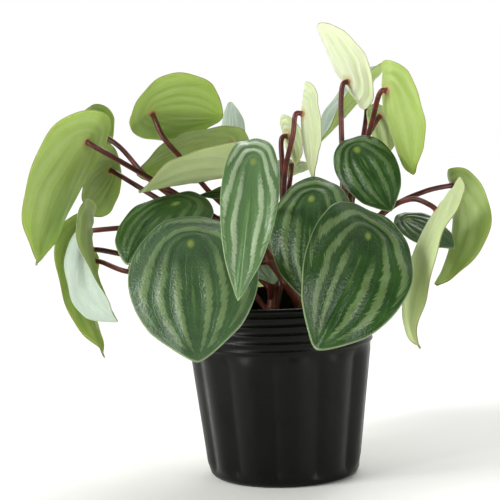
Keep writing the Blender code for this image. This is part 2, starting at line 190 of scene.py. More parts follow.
def closed_surface(rings, poles):
    """Points, quads and triangles of an array of rings with a pole beyond each end."""
    rows, columns = rings.shape[:2]
    end = rows * columns
    far_fan = fan_faces(end + 1, end - columns, columns)[:, ::-1]
    return (np.concatenate([rings.reshape(-1, 3), poles]), grid_faces(rows, columns),
            np.concatenate([fan_faces(end, 0, columns), far_fan]))


def joined(surfaces):
    """Several surfaces as one: each one's faces count on past the points of those before it."""
    points, *kinds = zip(*surfaces)
    shifts = np.cumsum([0] + [len(some) for some in points[:-1]])
    return np.concatenate(points), *(
        np.concatenate([faces + shift for faces, shift in zip(kind, shifts)]) for kind in kinds)


def make_piece(name, surface, materials, material_of_face=None):
    """A smooth mesh object from arrays in millimetres; faces are the quads, then the triangles."""
    points, quads, triangles = surface
    mesh = bpy.data.meshes.new(name)
    corners = np.concatenate([np.ravel(quads), np.ravel(triangles)]).astype(np.int32)
    sizes = np.concatenate([np.full(len(quads), 4), np.full(len(triangles), 3)]).astype(np.int32)
    mesh.vertices.add(len(points))
    mesh.vertices.foreach_set("co", (np.asarray(points, np.float32) * MM).ravel())
    mesh.loops.add(len(corners))
    mesh.loops.foreach_set("vertex_index", corners)
    mesh.polygons.add(len(sizes))
    starts = np.concatenate([[0], np.cumsum(sizes)[:-1]])
    mesh.polygons.foreach_set("loop_start", starts.astype(np.int32))
    for material in materials:
        mesh.materials.append(material)
    if material_of_face is not None:
        mesh.polygons.foreach_set("material_index", material_of_face.astype(np.int32))
    mesh.update(calc_edges=True)
    mesh.shade_smooth()
    return add_object(name, mesh)


def set_values(piece, name, values):
    """Stores one number for each vertex, which a material reads by this name."""
    layer = piece.data.attributes.new(name, "FLOAT", "POINT")
    layer.data.foreach_set("value", np.asarray(values, np.float32).ravel())


def stand_in(piece, node):
    """The piece rides on the only body and hides the node it stands for."""
    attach(piece, "root")
    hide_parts(node)


print("a 3 by 4 ring grid has", len(grid_faces(3, 4)), "faces")

# %% [markdown]
# ## The pot
#
# It is the thin pot that a nursery sells young plants in: black polyethylene, moulded in one shot.
# A rolled lip stiffens the rim, fine beads run round the collar, and the wall below is pressed into
# twelve upright lobes with narrow grooves between them, which keep the thin sheet from buckling. A
# turned profile alone could not make the lobes, so the surface is a function of height and angle:
# the profile gives the mean radius, and a rectified sine presses the lobes, inside and out alike.

# %% Pot profile
LIP_RADIUS, _, POT_HEIGHT = np.array(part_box("pot")[1]) / MM
COLLAR_FOOT = 61  # mm, where the collar steps in
COLLAR_RADII = (41.8, 43.2)  # at its foot and under the lip
WALL_RADII = (34, 40.8)  # at the bottom edge and under the collar
BASE_ROUND = 3  # the rounded edge at the bottom, outside
INNER_ROUND = 2  # and inside
LIP_ROUND = 1.3  # half the height of the rolled lip
WALL_THICKNESS = 1.2
RING_COUNT = 4  # beads round the collar
RING_HEIGHT = 0.5
RING_WIDTH = 0.9  # mm from its crest to where a bead has mostly fallen away
RING_FREE = 4  # mm below the top that hold no bead
FIRST_RING = 4.6  # mm from the top to the first crest
LOBE_COUNT = 12
LOBE_DEPTH = 2.0
LOBE_TURN = math.radians(22.5)
GROOVE_SHARE = 0.6  # share of that depth that lies inside the mean wall
GROOVE_ROUND = 0.005  # rounds the bottom of a groove
POT_COLUMNS = 240


def smooth_share(values, low, high):
    """0 below low, 1 above high, 3t^2 - 2t^3 between."""
    t = np.clip((values - low) / (high - low), 0, 1)
    return t * t * (3 - 2 * t)


def collar_radius(height):
    """A straight taper from foot to lip, lowered by 1 - exp(-d^2) away from beads a pitch apart."""
    mean = np.interp(height, (COLLAR_FOOT, POT_HEIGHT), COLLAR_RADII)
    pitch = (POT_HEIGHT - RING_FREE - COLLAR_FOOT) / RING_COUNT
    distance = np.abs((POT_HEIGHT - FIRST_RING - height + pitch / 2) % pitch - pitch / 2)
    return mean - RING_HEIGHT * (1 - np.exp(-(distance / RING_WIDTH) ** 2))


def pot_profile():
    """Radius and height: from the floor's middle up the inside, over the lip and down outside."""
    up = np.linspace(BASE_ROUND + 1, COLLAR_FOOT - 2, 40)
    wall = np.interp(up, (BASE_ROUND, COLLAR_FOOT - 1), WALL_RADII)
    turn = np.linspace(0, math.pi / 2, 8)
    corner_in = np.stack([wall[0] - WALL_THICKNESS + INNER_ROUND * (np.sin(turn) - 1),
                          WALL_THICKNESS + INNER_ROUND * (1 - np.cos(turn))], axis=1)
    inner = COLLAR_RADII[0] - RING_HEIGHT - WALL_THICKNESS
    floor = np.column_stack([(0, 10, 20, 27), np.full(4, WALL_THICKNESS)])
    inside = np.stack([wall - WALL_THICKNESS, up], axis=1)
    inside_collar = np.array([[inner, COLLAR_FOOT + 1], [inner + 0.5, COLLAR_FOOT + 8],
                              [inner + 1, POT_HEIGHT - 4], [inner + 1.6, POT_HEIGHT - 2.6]])
    roll = np.linspace(math.pi, -0.4 * math.pi, 16)
    lip = np.stack([LIP_RADIUS + LIP_ROUND * (np.cos(roll) - 1),
                    POT_HEIGHT + LIP_ROUND * (np.sin(roll) - 1)], axis=1)
    down = np.linspace(POT_HEIGHT - 3.2, COLLAR_FOOT, 72)
    collar = np.stack([collar_radius(down), down], axis=1)
    foot = np.array([[COLLAR_RADII[0] - 0.25, COLLAR_FOOT - 0.5],
                     [WALL_RADII[1] + 0.1, COLLAR_FOOT - 0.9]])
    outside = np.stack([wall, up], axis=1)[::-1]
    corner_out = np.stack([WALL_RADII[0] + BASE_ROUND * (np.cos(turn) - 1),
                           BASE_ROUND * (1 - np.sin(turn))], axis=1)
    under = np.array([[26, 0], [17, 0], [8, 0], [0, 0]])
    return np.concatenate([floor, corner_in, inside, inside_collar, lip, collar, foot, outside,
                           corner_out, under])


profile = pot_profile()
print("pot profile:", len(profile), "points, lip", LIP_RADIUS, "mm, height", POT_HEIGHT, "mm")

# %% Pot surface
def turned_piece(name, section, columns, radius_change, material):
    """A section carried round the axis, (r cos a, r sin a, z), with r changed by a function."""
    angle = full_turn(columns)
    radius, height = section[1:-1, 0, None], section[1:-1, 1, None]
    radius = radius + radius_change(radius, height, angle)
    rings = np.stack([radius * np.cos(angle), radius * np.sin(angle), height + 0 * angle], axis=-1)
    poles = np.array([[0, 0, section[0, 1]], [0, 0, section[-1, 1]]])
    return make_piece(name, closed_surface(rings, poles), [material])


def press_lobes(radius, height, angle):
    """Round lobes between narrow grooves, |sin(n a / 2)|, fading out at collar, base and floor."""
    share = 1 - smooth_share(height, COLLAR_FOOT - 6, COLLAR_FOOT - 1)
    share = share * smooth_share(height, 2, 7) * smooth_share(radius, 26, 31)
    lobe = np.sqrt(np.sin(LOBE_COUNT * (angle - LOBE_TURN) / 2) ** 2 + GROOVE_ROUND)
    return LOBE_DEPTH * share * (lobe - GROOVE_SHARE)


print("a crown stands", round(LOBE_DEPTH * (1 - GROOVE_SHARE), 2), "mm out from the mean wall")

# %% [markdown]
# ## Black polyethylene
#
# Pots like this are blow or injection moulded from recycled polyethylene and carbon black. The skin
# is smooth but soft, so it gives broad, slightly broken highlights, dulled here and there by dust
# and by scuffs from handling. The base colour is almost black, never fully so.

# %% Pot material
OBJECT = 3  # which output of Texture Coordinate gives the object's own metres

polyethylene, tree, shader = new_material("moulded black polyethylene", 0.3, {
    "IOR": 1.51, "Specular IOR Level": 0.17})
place = add_node(tree, "TexCoord", output=OBJECT)
dust = add_node(tree, "TexNoise", place, 1 / (14 * MM), 5.0, 0.65)
streaks = add_node(tree, "Mapping", place, None, None, (1, 1, 0.18))
scuffs = add_node(tree, "TexNoise", streaks, 1 / (1.6 * MM), 3.0)
dusted = add_node(tree, "MapRange", dust, 0.35, 0.75)
black = add_node(tree, "Mix", dusted, "#010101", "#060605", **COLOURS)
tree.links.new(black, shader.inputs["Base Color"])
worn = add_node(tree, "Math", dust, scuffs, operation="ADD")
tree.links.new(add_node(tree, "MapRange", worn, 0.7, 1.3, 0.26, 0.44), shader.inputs["Roughness"])
# Sink marks a centimetre apart bend the highlights, and scuffs a millimetre apart break them up.
sinks = add_node(tree, "TexNoise", place, 1 / (11 * MM), 1.0)
sunk = add_node(tree, "Bump", 0.5, 0.35 * MM, None, sinks)
tree.links.new(add_node(tree, "Bump", 0.5, 0.05 * MM, None, scuffs, sunk), shader.inputs["Normal"])
print("made", polyethylene.name)

# %% [markdown]
# ## Drain holes
#
# The floor has a ring of round holes. A mesh for each would be clumsy to weave into the grid, so
# plain cylinders are subtracted with a Boolean, which is then applied, and the cylinders go.

# %% Pot with its drain holes
DRAIN_COUNT = 6
DRAIN_RADIUS = 3
DRAIN_RING = 21  # mm from the axis to the middle of a hole

pot = turned_piece("nursery_pot", profile, POT_COLUMNS, press_lobes, polyethylene)
rod = np.array([[0, 3], [DRAIN_RADIUS, 3], [DRAIN_RADIUS, 0.5], [DRAIN_RADIUS, -2], [0, -2]])
for angle in full_turn(DRAIN_COUNT):
    drill = turned_piece("drill", rod, 24, lambda radius, height, angle: 0, polyethylene)
    centre = DRAIN_RING * np.array([math.cos(angle), math.sin(angle), 0])
    drill.data.transform(Matrix.Translation(centre * MM))
    cut = pot.modifiers.new("drain", "BOOLEAN")
    cut.object = drill
    cut.solver = "EXACT"
    bpy.context.view_layer.objects.active = pot
    bpy.ops.object.modifier_apply(modifier=cut.name)
    bpy.data.objects.remove(drill)
stand_in(pot, "pot")
print("pot:", len(pot.data.polygons), "faces with", DRAIN_COUNT, "drain holes")

# %% [markdown]
# ## The soil
#
# Potting mix is peat and fine bark, dark and crumbly. From a step away only its rough top counts,
# so only that is made: a disc whose height is a sum of waves, with crumbs scattered over it. Each
# crumb is the same small lump, stretched and turned at random, with the random numbers seeded so
# that every run is the same.

# %% Soil surface and crumbs
SOIL_EDGE = 62.2  # mm above the floor
SOIL_MOUND = 2.4  # how much the middle stands above the edge
SOIL_FOOT = 52  # the underside of the disc
SOIL_RADIUS = COLLAR_RADII[0] - RING_HEIGHT - WALL_THICKNESS + 0.2
# Height in mm, radians per mm along X and along Y, and where the wave starts.
SOIL_WAVES = [(0.35, 0.31, 0, 1), (0.35, 0.2, 0.37, 0), (0.25, 1.1, 0.6, 0), (0.2, -0.9, 1.7, 2)]
CRUMBS = 420


def soil_height(x, y):
    """A mound that falls to the edge, plus four crossed waves, h sin(a x + b y + c)."""
    share = (x * x + y * y) / SOIL_RADIUS ** 2
    waves = sum(high * np.sin(a * x + b * y + start) for high, a, b, start in SOIL_WAVES)
    return SOIL_EDGE + SOIL_MOUND * (1 - share) + waves


def soil_disc(rings, columns):
    """Rings of a disc that follow the height function, and one below its edge that closes it."""
    angle = full_turn(columns)
    radius = SOIL_RADIUS * np.linspace(0, 1, rings + 1)[1:, None]
    x, y = radius * np.cos(angle), radius * np.sin(angle)
    top = np.stack([x, y, soil_height(x, y)], axis=-1)
    side = np.stack([x[-1:] * 0.95, y[-1:] * 0.95, np.full((1, columns), SOIL_FOOT)], axis=-1)
    poles = np.array([[0, 0, soil_height(0, 0)], [0, 0, SOIL_FOOT]])
    return closed_surface(np.concatenate([top, side]), poles)


def lump(rows, columns):
    """A unit ball as rings between two poles: (sin t cos a, sin t sin a, cos t)."""
    tilt = np.linspace(0, np.pi, rows + 2)[1:-1, None]
    angle = full_turn(columns)
    rings = np.stack([np.sin(tilt) * np.cos(angle), np.sin(tilt) * np.sin(angle),
                      np.cos(tilt) + 0 * angle], axis=-1)
    return closed_surface(rings, [[0, 0, 1], [0, 0, -1]])


def scattered_crumbs(count, seed):
    """Copies of the lump, each dented, stretched by its own sizes and turned about the upright."""
    random = np.random.default_rng(seed)
    ball, quads, triangles = lump(3, 6)
    radius = (SOIL_RADIUS - 1.5) * np.sqrt(random.random(count))
    angle = random.random(count) * 2 * np.pi
    x, y = radius * np.cos(angle), radius * np.sin(angle)
    size = (0.35 + 0.9 * random.random(count) ** 2)[:, None, None]
    stretch = 0.6 + 0.8 * random.random((count, 1, 3))
    dented = ball * (1 + 0.25 * random.standard_normal((count, len(ball), 1)))
    points = dented * stretch * size
    spin = random.random(count) * 2 * np.pi
    cos, sin = np.cos(spin)[:, None], np.sin(spin)[:, None]
    points = np.stack([points[..., 0] * cos - points[..., 1] * sin,
                       points[..., 0] * sin + points[..., 1] * cos, points[..., 2]], axis=-1)
    points = points + np.stack([x, y, soil_height(x, y)], axis=-1)[:, None]
    return joined([(some, quads, triangles) for some in points])


print("the soil's middle lies at", round(float(soil_height(0, 0)), 1), "mm")

# %% [markdown]
# ## Potting mix
#
# Peat swallows light, so the colour stays dark and the roughness high. One noise, as coarse as
# crumbs and with finer steps down to fibres, breaks up the colour and gives the relief.

# %% Soil material and piece
potting_mix, tree, shader = new_material("peat potting mix", 0.95, {"Specular IOR Level": 0.2})
place = add_node(tree, "TexCoord", output=OBJECT)
crumbly = add_node(tree, "TexNoise", place, 1 / (2.2 * MM), 6.0, 0.7)
damp = add_node(tree, "MapRange", crumbly, 0.3, 0.6)
dry = add_node(tree, "MapRange", crumbly, 0.6, 0.8)
brown = glazed(tree, "#120D0A", [(damp, 1.0, "#2A1F17"), (dry, 1.0, "#4A3829")])
tree.links.new(brown, shader.inputs["Base Color"])
tree.links.new(add_node(tree, "Bump", 1.0, 1.0 * MM, None, crumbly), shader.inputs["Normal"])

top = joined([soil_disc(rings=40, columns=120), scattered_crumbs(CRUMBS, seed=4)])
soil = make_piece("potting_soil", top, [potting_mix])
stand_in(soil, "soil")
print("soil:", len(soil.data.polygons), "faces,", CRUMBS, "crumbs")

# %% [markdown]
# ## Where the leaves stand
#
# Each leaf is stated as a grower would: which stem it springs from, the way its stalk takes, where
# the stalk meets the blade, where the blade's point is and which way its upper side looks. The same
# statement shaped the plain solids of the construction, so the fine blades lie where those do.

# %% Stems and leaves
from typing import NamedTuple

STEMS = {
    "left": [(13, -10, 48), (11, -10, 72), (3, -10, 88), (-6, -10, 102), (-11, -9, 112)],
    "right": [(24, 4, 48), (25, 3, 72), (28, 0, 90), (30, -3, 102)],
    "back": [(-2, 20, 48), (-3, 21, 74), (0, 23, 92), (3, 25, 104)],
}


class Leaf(NamedTuple):
    """One leaf. Angles are in degrees; base and breadth are shares of the blade's length."""

    stem: str  # the stem that its stalk grows from
    rise: float  # how far up that stem, 0 to 1
    stalk: list  # points that the stalk passes through on its way to the blade
    joint: tuple  # where the stalk meets the blade's underside
    tip: tuple  # the point of the blade
    facing: tuple  # where the upper side looks
    breadth: float  # greatest width
    bend: float = 40  # how much the midrib turns down from base to tip
    cup: float = 0  # how much each half turns down towards its edge
    fold: float = 0  # how much each half stands up beside the midrib
    curl: float = 0  # extra turn near the tip
    base: float = 0.27  # how much of the blade lies behind the joint
    taper: float = 0.16  # a larger value moves the greatest width towards the base


LEAVES = {
    # left side
    "leaf_01": Leaf("left", 0.85, [(-47, 8, 129)], (-83, -10, 153), (-105, -30, 101),
        (-0.7, 0.7, 0.2), 0.46, bend=42, fold=26, base=0.2, taper=0.3),
    "leaf_02": Leaf("left", 0.8, [(-46, 10, 121)], (-77, 29, 139), (-88, 9, 125),
        (-0.85, 0.45, 0.25), 1.1, cup=15, base=0.2),
    "leaf_03": Leaf("left", 0.9, [(-30, -6, 117), (-57, 15, 134), (-72, 28, 150)], (-84, 33, 158),
        (-98, 17, 134), (-0.8, 0.5, 0.3), 0.8, cup=15),
    "leaf_04": Leaf("left", 0.72, [(-45, 0, 92), (-69, 9, 93)], (-86, 22, 97), (-86, 15, 85),
        (-0.8, 0.5, 0.3), 0.6, bend=30, cup=15),
    "leaf_05": Leaf("left", 0.75, [(-50, -10, 99)], (-82, -18, 106), (-70, -42, 77),
        (-0.9, -0.25, 0.1), 0.62, fold=35, base=0.38),
    "leaf_06": Leaf("left", 0.82, [(-55, 5, 113)], (-91, 14, 112), (-80, 0, 55), (-0.85, 0.4, 0.2),
        0.46, bend=35, fold=20, base=0.12, taper=0.4),
    # upper left
    "leaf_07": Leaf("back", 0.85, [(-29, 21, 126), (-40, 11, 141), (-50, 5, 154)], (-55, 12, 165),
        (-23, 22, 162), (-0.1, 0.7, 0.7), 1, bend=30, cup=10, fold=15, base=0.23, taper=0.05),
    "leaf_08": Leaf("back", 0.9, [(-10, 26, 128)], (-20, 32, 150), (-64, 28, 136), (0, 0.5, 0.85),
        0.88, bend=25, cup=15, base=0.16),
    "leaf_09": Leaf("left", 0.95, [(-20, -5, 122)], (-20, -2, 136), (-60, -22, 131),
        (-0.15, 0.4, 0.9), 0.66, bend=5, fold=30, base=0.25),
    "leaf_10": Leaf("back", 0.6, [(-14, 48, 116)], (-21, 60, 146), (-20, 66, 169),
        (-0.75, -0.3, 0.3), 0.9, bend=10, cup=10),
    "leaf_11": Leaf("left", 1, [], (-10, 7, 128), (-34, 5, 127), (0, -0.35, 0.95), 0.5, bend=20,
        cup=15),
    # front
    "leaf_12": Leaf("left", 0.9, [(-28, -15, 114)], (-44, -23, 125), (-65, -46, 102),
        (-0.15, -0.5, 0.8), 0.76, bend=45, cup=25),
    "leaf_13": Leaf("left", 1, [(-4, -30, 128)], (-10, -56, 143), (-18, -82, 89),
        (0.05, -0.95, 0.2), 0.31, bend=50, fold=10, base=0.2, taper=0.28),
    "leaf_14": Leaf("left", 0.8, [(-22, -32, 103)], (-37, -54, 110), (-35, -77, 64),
        (-0.05, -0.88, 0.5), 0.8, bend=45, cup=20, base=0.24),
    "leaf_15": Leaf("back", 0.4, [(-6, 14, 98)], (-8, 6, 102), (-2, 0, 86), (0.1, -0.8, 0.5), 0.7,
        cup=20),
    "leaf_16": Leaf("left", 0.7, [(-30, 10, 103)], (-56, 30, 106), (-70, 20, 91), (-0.5, 0.5, 0.6),
        0.8, cup=20),
    "leaf_17": Leaf("right", 0.7, [(20, -10, 112)], (15, -22, 125), (12, -48, 83),
        (-0.2, -0.85, 0.5), 0.56, bend=45, cup=25, base=0.23),
    "leaf_18": Leaf("right", 0.6, [(34, -25, 104)], (37, -48, 110), (13, -74, 67),
        (0.4, -0.75, 0.45), 0.66, bend=45, fold=10, base=0.22),
    # right side
    "leaf_19": Leaf("right", 0.95, [(32, 6, 128)], (37, 0, 145), (50, -16, 118), (-0.1, -0.8, 0.5),
        0.62, bend=45, cup=20, base=0.22),
    "leaf_20": Leaf("right", 0.5, [(46, 2, 102)], (60, 8, 112), (79, -5, 100), (0.1, -0.7, 0.7),
        0.56, bend=20, cup=10, base=0.2),
    "leaf_21": Leaf("right", 0.85, [(48, -10, 118), (60, -14, 123)], (70, -18, 118), (58, -44, 61),
        (0.85, 0.4, 0.3), 0.37, bend=-40, fold=26, curl=-35, base=0.22),
    "leaf_22": Leaf("right", 0.8, [(50, 4, 117), (68, 8, 125)], (82, 12, 127), (71, -4, 83),
        (0.85, 0.45, 0.2), 0.62, bend=50, fold=34, base=0.14),
    # upper right
    "leaf_23": Leaf("right", 1, [(31, 12, 140)], (35, 15, 176), (23, 22, 203), (0.8, 0.6, 0.2),
        0.58, bend=-25, fold=40, base=0.33, taper=0.02),
    "leaf_24": Leaf("right", 0.95, [(38, 14, 134), (44, 7, 155)], (51, -4, 171), (62, 0, 133),
        (0.8, 0.6, 0.2), 0.56, bend=-40, fold=40, base=0.25),
    "leaf_25": Leaf("right", 0.85, [(38, 12, 140)], (50, 22, 160), (53, 28, 142), (0.6, 0.7, 0.3),
        0.6, cup=15),
    "leaf_26": Leaf("right", 0.95, [(34, 20, 126), (42, 38, 146)], (43, 48, 169), (22, 40, 148),
        (-0.2, 0, 0.97), 0.52, bend=-10, fold=50, base=0.4),
    "leaf_27": Leaf("back", 1, [(5, 17, 136), (9, 13, 153)], (14, 15, 162), (18, 18, 133),
        (0.92, 0.4, 0.1), 0.45, bend=-40, fold=40, base=0.33),
    "leaf_28": Leaf("back", 0.95, [(4, 30, 136)], (7, 35, 152), (11, 38, 138), (0.7, 0.6, 0.3), 0.6,
        bend=-20, fold=30, base=0.4),
    "leaf_29": Leaf("back", 0.7, [(6, 42, 120)], (9, 50, 139), (3, 68, 131), (0, 0.5, 0.8), 0.7,
        bend=30, cup=15),
    # far side
    "leaf_30": Leaf("back", 0.5, [(-26, 34, 102)], (-48, 46, 112), (-64, 74, 92), (-0.3, 0.6, 0.7),
        0.78, cup=20),
    "leaf_31": Leaf("back", 0.4, [(-8, 46, 102)], (-18, 68, 108), (-22, 96, 78), (0, 0.8, 0.6), 0.8,
        bend=45, cup=22),
    "leaf_32": Leaf("back", 0.5, [(12, 40, 104)], (24, 58, 114), (34, 84, 84), (0.2, 0.8, 0.6),
        0.76, bend=45, cup=20),
    "leaf_33": Leaf("right", 0.4, [(34, 20, 98)], (44, 38, 104), (58, 60, 80), (0.5, 0.6, 0.6),
        0.72, cup=20),
    "leaf_34": Leaf("back", 0.2, [(2, 40, 83)], (2, 64, 80), (0, 84, 58), (0, 0.8, 0.6), 0.74,
        cup=20),
    "leaf_35": Leaf("back", 0.3, [(-22, 32, 88)], (-44, 44, 84), (-58, 60, 66), (-0.4, 0.6, 0.6),
        0.74, cup=20),
}
print(len(LEAVES), "leaves on", len(STEMS), "stems")

# %% [markdown]
# ## The shape of a blade
#
# A blade could be sculpted, but all of them follow one growth plan, so one function makes them all.
# It starts flat, as rings round the joint that swell to the pointed outline. The midrib then bends
# down along its length, and each half folds up beside the midrib and cups down towards the edge.
# Both curves are found by adding up small steps along a slope that changes smoothly, so no length
# is stretched. The upper and lower skins lie a little apart, and closer at the edge.

# %% Blade outline and arch
BLADE_SPOKES = 120
BLADE_RINGS = 28
FOLD_REACH = 0.05  # share of the length in which a fold opens beside the midrib
CUP_REACH = 0.4
TIP_START = 0.8  # share of the length where the point starts
TIP_PULL = 0.3
WAVE_HEIGHT = 0.012  # of the edge, as a share of the length
WAVE_COUNT = 5
RIPPLE_HEIGHT = 0.004  # a finer wave on top of the first
RIPPLE_COUNT = 11
MIDDLE_THICKNESS = 0.9  # mm
EDGE_THICKNESS = 0.4
EDGE_ROUND = 0.12  # mm by which the edge stands out beyond both skins
QUILT_HEIGHT = 0.35  # mm from a vein up to the tissue between veins


def running_integral(values, spacing):
    """Trapezoid integral of equally spaced values, zero at the first."""
    return np.concatenate([[0], np.cumsum((values[1:] + values[:-1]) / 2 * spacing)])


def flat_blade(leaf):
    """Turn, share of the way to the edge, across and along, for rings round a joint; length 1.

    The outline is across = sin(t) (1 - s)^taper with s = (1 - cos t) / 2 running from base to tip,
    scaled to the breadth and drawn in over the last fifth, which makes the point.
    """
    turn = full_turn(BLADE_SPOKES)
    share = (1 - np.cos(turn)) / 2
    across = np.sin(turn) * (1 - share) ** leaf.taper
    across = across * leaf.breadth / 2 / np.abs(across).max()
    point = np.clip((share - TIP_START) / (1 - TIP_START), 0, 1)
    across = across * (1 - TIP_PULL * point ** 1.2)
    rings = np.linspace(0, 1, BLADE_RINGS + 1)[1:, None]
    return turn, rings, rings * across, rings * (share - leaf.base)


def arched(leaf, across, forward, lift):
    """Carries flat points onto the arch: the midrib's curve in YZ, and a curve across each half."""
    length = np.linspace(-leaf.base, 1 - leaf.base, 401)
    slope = math.radians(leaf.bend) * length
    slope = slope + math.radians(leaf.curl) * np.clip(length / (1 - leaf.base), 0, 1) ** 3
    rib_y = running_integral(np.cos(slope), length[1] - length[0])
    rib_z = running_integral(-np.sin(slope), length[1] - length[0])
    rib_y = rib_y - np.interp(0, length, rib_y)
    rib_z = rib_z - np.interp(0, length, rib_z)

    reach = np.linspace(0, 0.6, 241)
    tilt = math.radians(leaf.fold) * (1 - np.exp(-reach / FOLD_REACH))
    tilt = tilt - math.radians(leaf.cup) * reach / CUP_REACH
    half_x = running_integral(np.cos(tilt), reach[1])
    half_z = running_integral(np.sin(tilt), reach[1])

    x = np.sign(across) * np.interp(np.abs(across), reach, half_x)
    height = np.interp(np.abs(across), reach, half_z) + lift
    lean = np.interp(forward, length, slope)
    y = np.interp(forward, length, rib_y) + height * np.sin(lean)
    z = np.interp(forward, length, rib_z) + height * np.cos(lean)
    drop = math.atan2(rib_z[-1], rib_y[-1])
    cosine, sine = math.cos(drop), math.sin(drop)
    level = np.stack([x, y * cosine + z * sine, z * cosine - y * sine], axis=-1)
    return level / math.hypot(rib_y[-1], rib_z[-1]), np.array([0, sine, cosine])


def blade_axes(leaf):
    """Length from joint to tip, and the blade's own right, forward and up directions in space."""
    forward = np.array(leaf.tip, float) - np.array(leaf.joint)
    size = np.linalg.norm(forward)
    forward = forward / size
    upward = unit(np.array(leaf.facing) - np.dot(leaf.facing, forward) * forward)
    return size, np.array([np.cross(forward, upward), forward, upward])


def joint_normal(leaf):
    """Which way the upper side looks at the joint."""
    return arched(leaf, np.zeros(1), np.zeros(1), 0)[1] @ blade_axes(leaf)[1]


print("leaf_01 is", round(float(blade_axes(LEAVES["leaf_01"])[0]), 1), "mm from joint to tip")

# %% [markdown]
# ## Veins
#
# The main veins part near the joint and meet again at the tip, like the lines of force between two
# poles, one just behind the joint and one at the tip. Such lines have a simple rule: for any point,
# add the angle at the one pole and the angle at the other, both measured from the midrib. The sum
# stays the same all along one vein. Counted in steps from one vein to the next it numbers them, and
# the material paints its bands by it. Behind the joint the outer veins arch round it instead, so
# there a point takes the number of the point beside the joint that lies on the same arch. The
# tissue between veins is quilted up a little.

# %% Vein numbers
MIDRIB_STRIP = 11  # degrees, the dark strip each side of the midrib
VEIN_PITCH = 23  # degrees from one vein to the next
POLE_BEHIND = 0.55  # share of the way from the joint back to the edge
FULL_BREADTH = 0.6  # a blade narrower than this has the same veins, closer together
TURN_BACK = 0.06  # share of the length in which the lines start to arch round the joint
ARCH_SPREAD = 0.45  # share of the breadth that the arches take


def vein_number(leaf, across, forward):
    """(angle at rear pole + angle at tip - strip) / pitch: whole on veins, below 0 at the midrib.

    Behind the joint, forward runs out smoothly at 0 and what it loses is added across, at a right
    angle, which turns the lines into arches.
    """
    ahead = (forward + np.hypot(forward, TURN_BACK)) / 2
    arch = (ahead - forward) * ARCH_SPREAD * leaf.breadth / leaf.base
    across = np.hypot(across, arch)
    rear = np.arctan2(across, ahead + POLE_BEHIND * leaf.base)
    front = np.arctan2(across, 1 - leaf.base - ahead)
    spread = min(1, leaf.breadth / FULL_BREADTH) ** 0.5
    return (np.degrees(rear + front) / spread - MIDRIB_STRIP) / VEIN_PITCH


def quilting(number, ring):
    """Raised between veins, (1 - cos 2 pi n) / 2, and fading out at joint, edge and outer veins."""
    share = smooth_share(ring, 0.1, 0.35) * (1 - smooth_share(ring, 0.8, 1.0))
    share = share * (1 - smooth_share(number, 2.8, 3.8))
    return (1 - np.cos(2 * np.pi * np.maximum(number, 0))) / 2 * share


def blade_points(leaf, number):
    """Upper and lower skin of one blade in mm, their poles and the values its materials read."""
    turn, ring, across, forward = flat_blade(leaf)
    size, axes = blade_axes(leaf)
    veins = vein_number(leaf, across, forward)
    wave = WAVE_HEIGHT * ring ** 3 * np.sin(WAVE_COUNT * turn + 2.4 * number)
    ripple = RIPPLE_HEIGHT * ring ** 2 * np.sin(RIPPLE_COUNT * turn + 1.7 * number)
    relief = QUILT_HEIGHT / size * (quilting(veins, ring) - 0.5)
    centre = np.array(leaf.joint)
    middle = centre + size * arched(leaf, across, forward, wave + ripple + relief)[0] @ axes
    around = np.roll(middle, -1, axis=1) - np.roll(middle, 1, axis=1)
    outward = np.gradient(middle, axis=0)
    normal = joint_normal(leaf)
    up = unit(np.cross(outward, around))
    up = up * np.sign(np.sum(up * normal, axis=-1).mean())
    half = (EDGE_THICKNESS + (MIDDLE_THICKNESS - EDGE_THICKNESS) * (1 - ring ** 4)) / 2
    half = up * half[..., None]
    poles = [centre + normal * MIDDLE_THICKNESS / 2, centre - normal * MIDDLE_THICKNESS / 2]
    distance = np.hypot(1.4 * across, forward) * size
    return (middle + half, middle - half, poles, veins, ring + 0 * veins, distance,
            across * size, forward * size)


*_, across, along = blade_points(LEAVES["leaf_14"], 13)
print("leaf_14 lies flat in", round(float(np.ptp(across))), "by", round(float(np.ptp(along))), "mm")

# %% [markdown]
# ## The upper side: waxy green with silver bands
#
# The dark strips follow the veins, where the tissue lies close under the skin. Between them, small
# air gaps under the skin scatter light and look silver, and because the gaps end at the finest side
# veins, the bands have feathered edges. The wax on the skin gives a soft, broad shine. Light that
# enters the thin blade leaves it again a few millimetres away, which subsurface scattering gives.

# %% Leaf pattern
FAC = 2  # which output of an Attribute node is the stored number


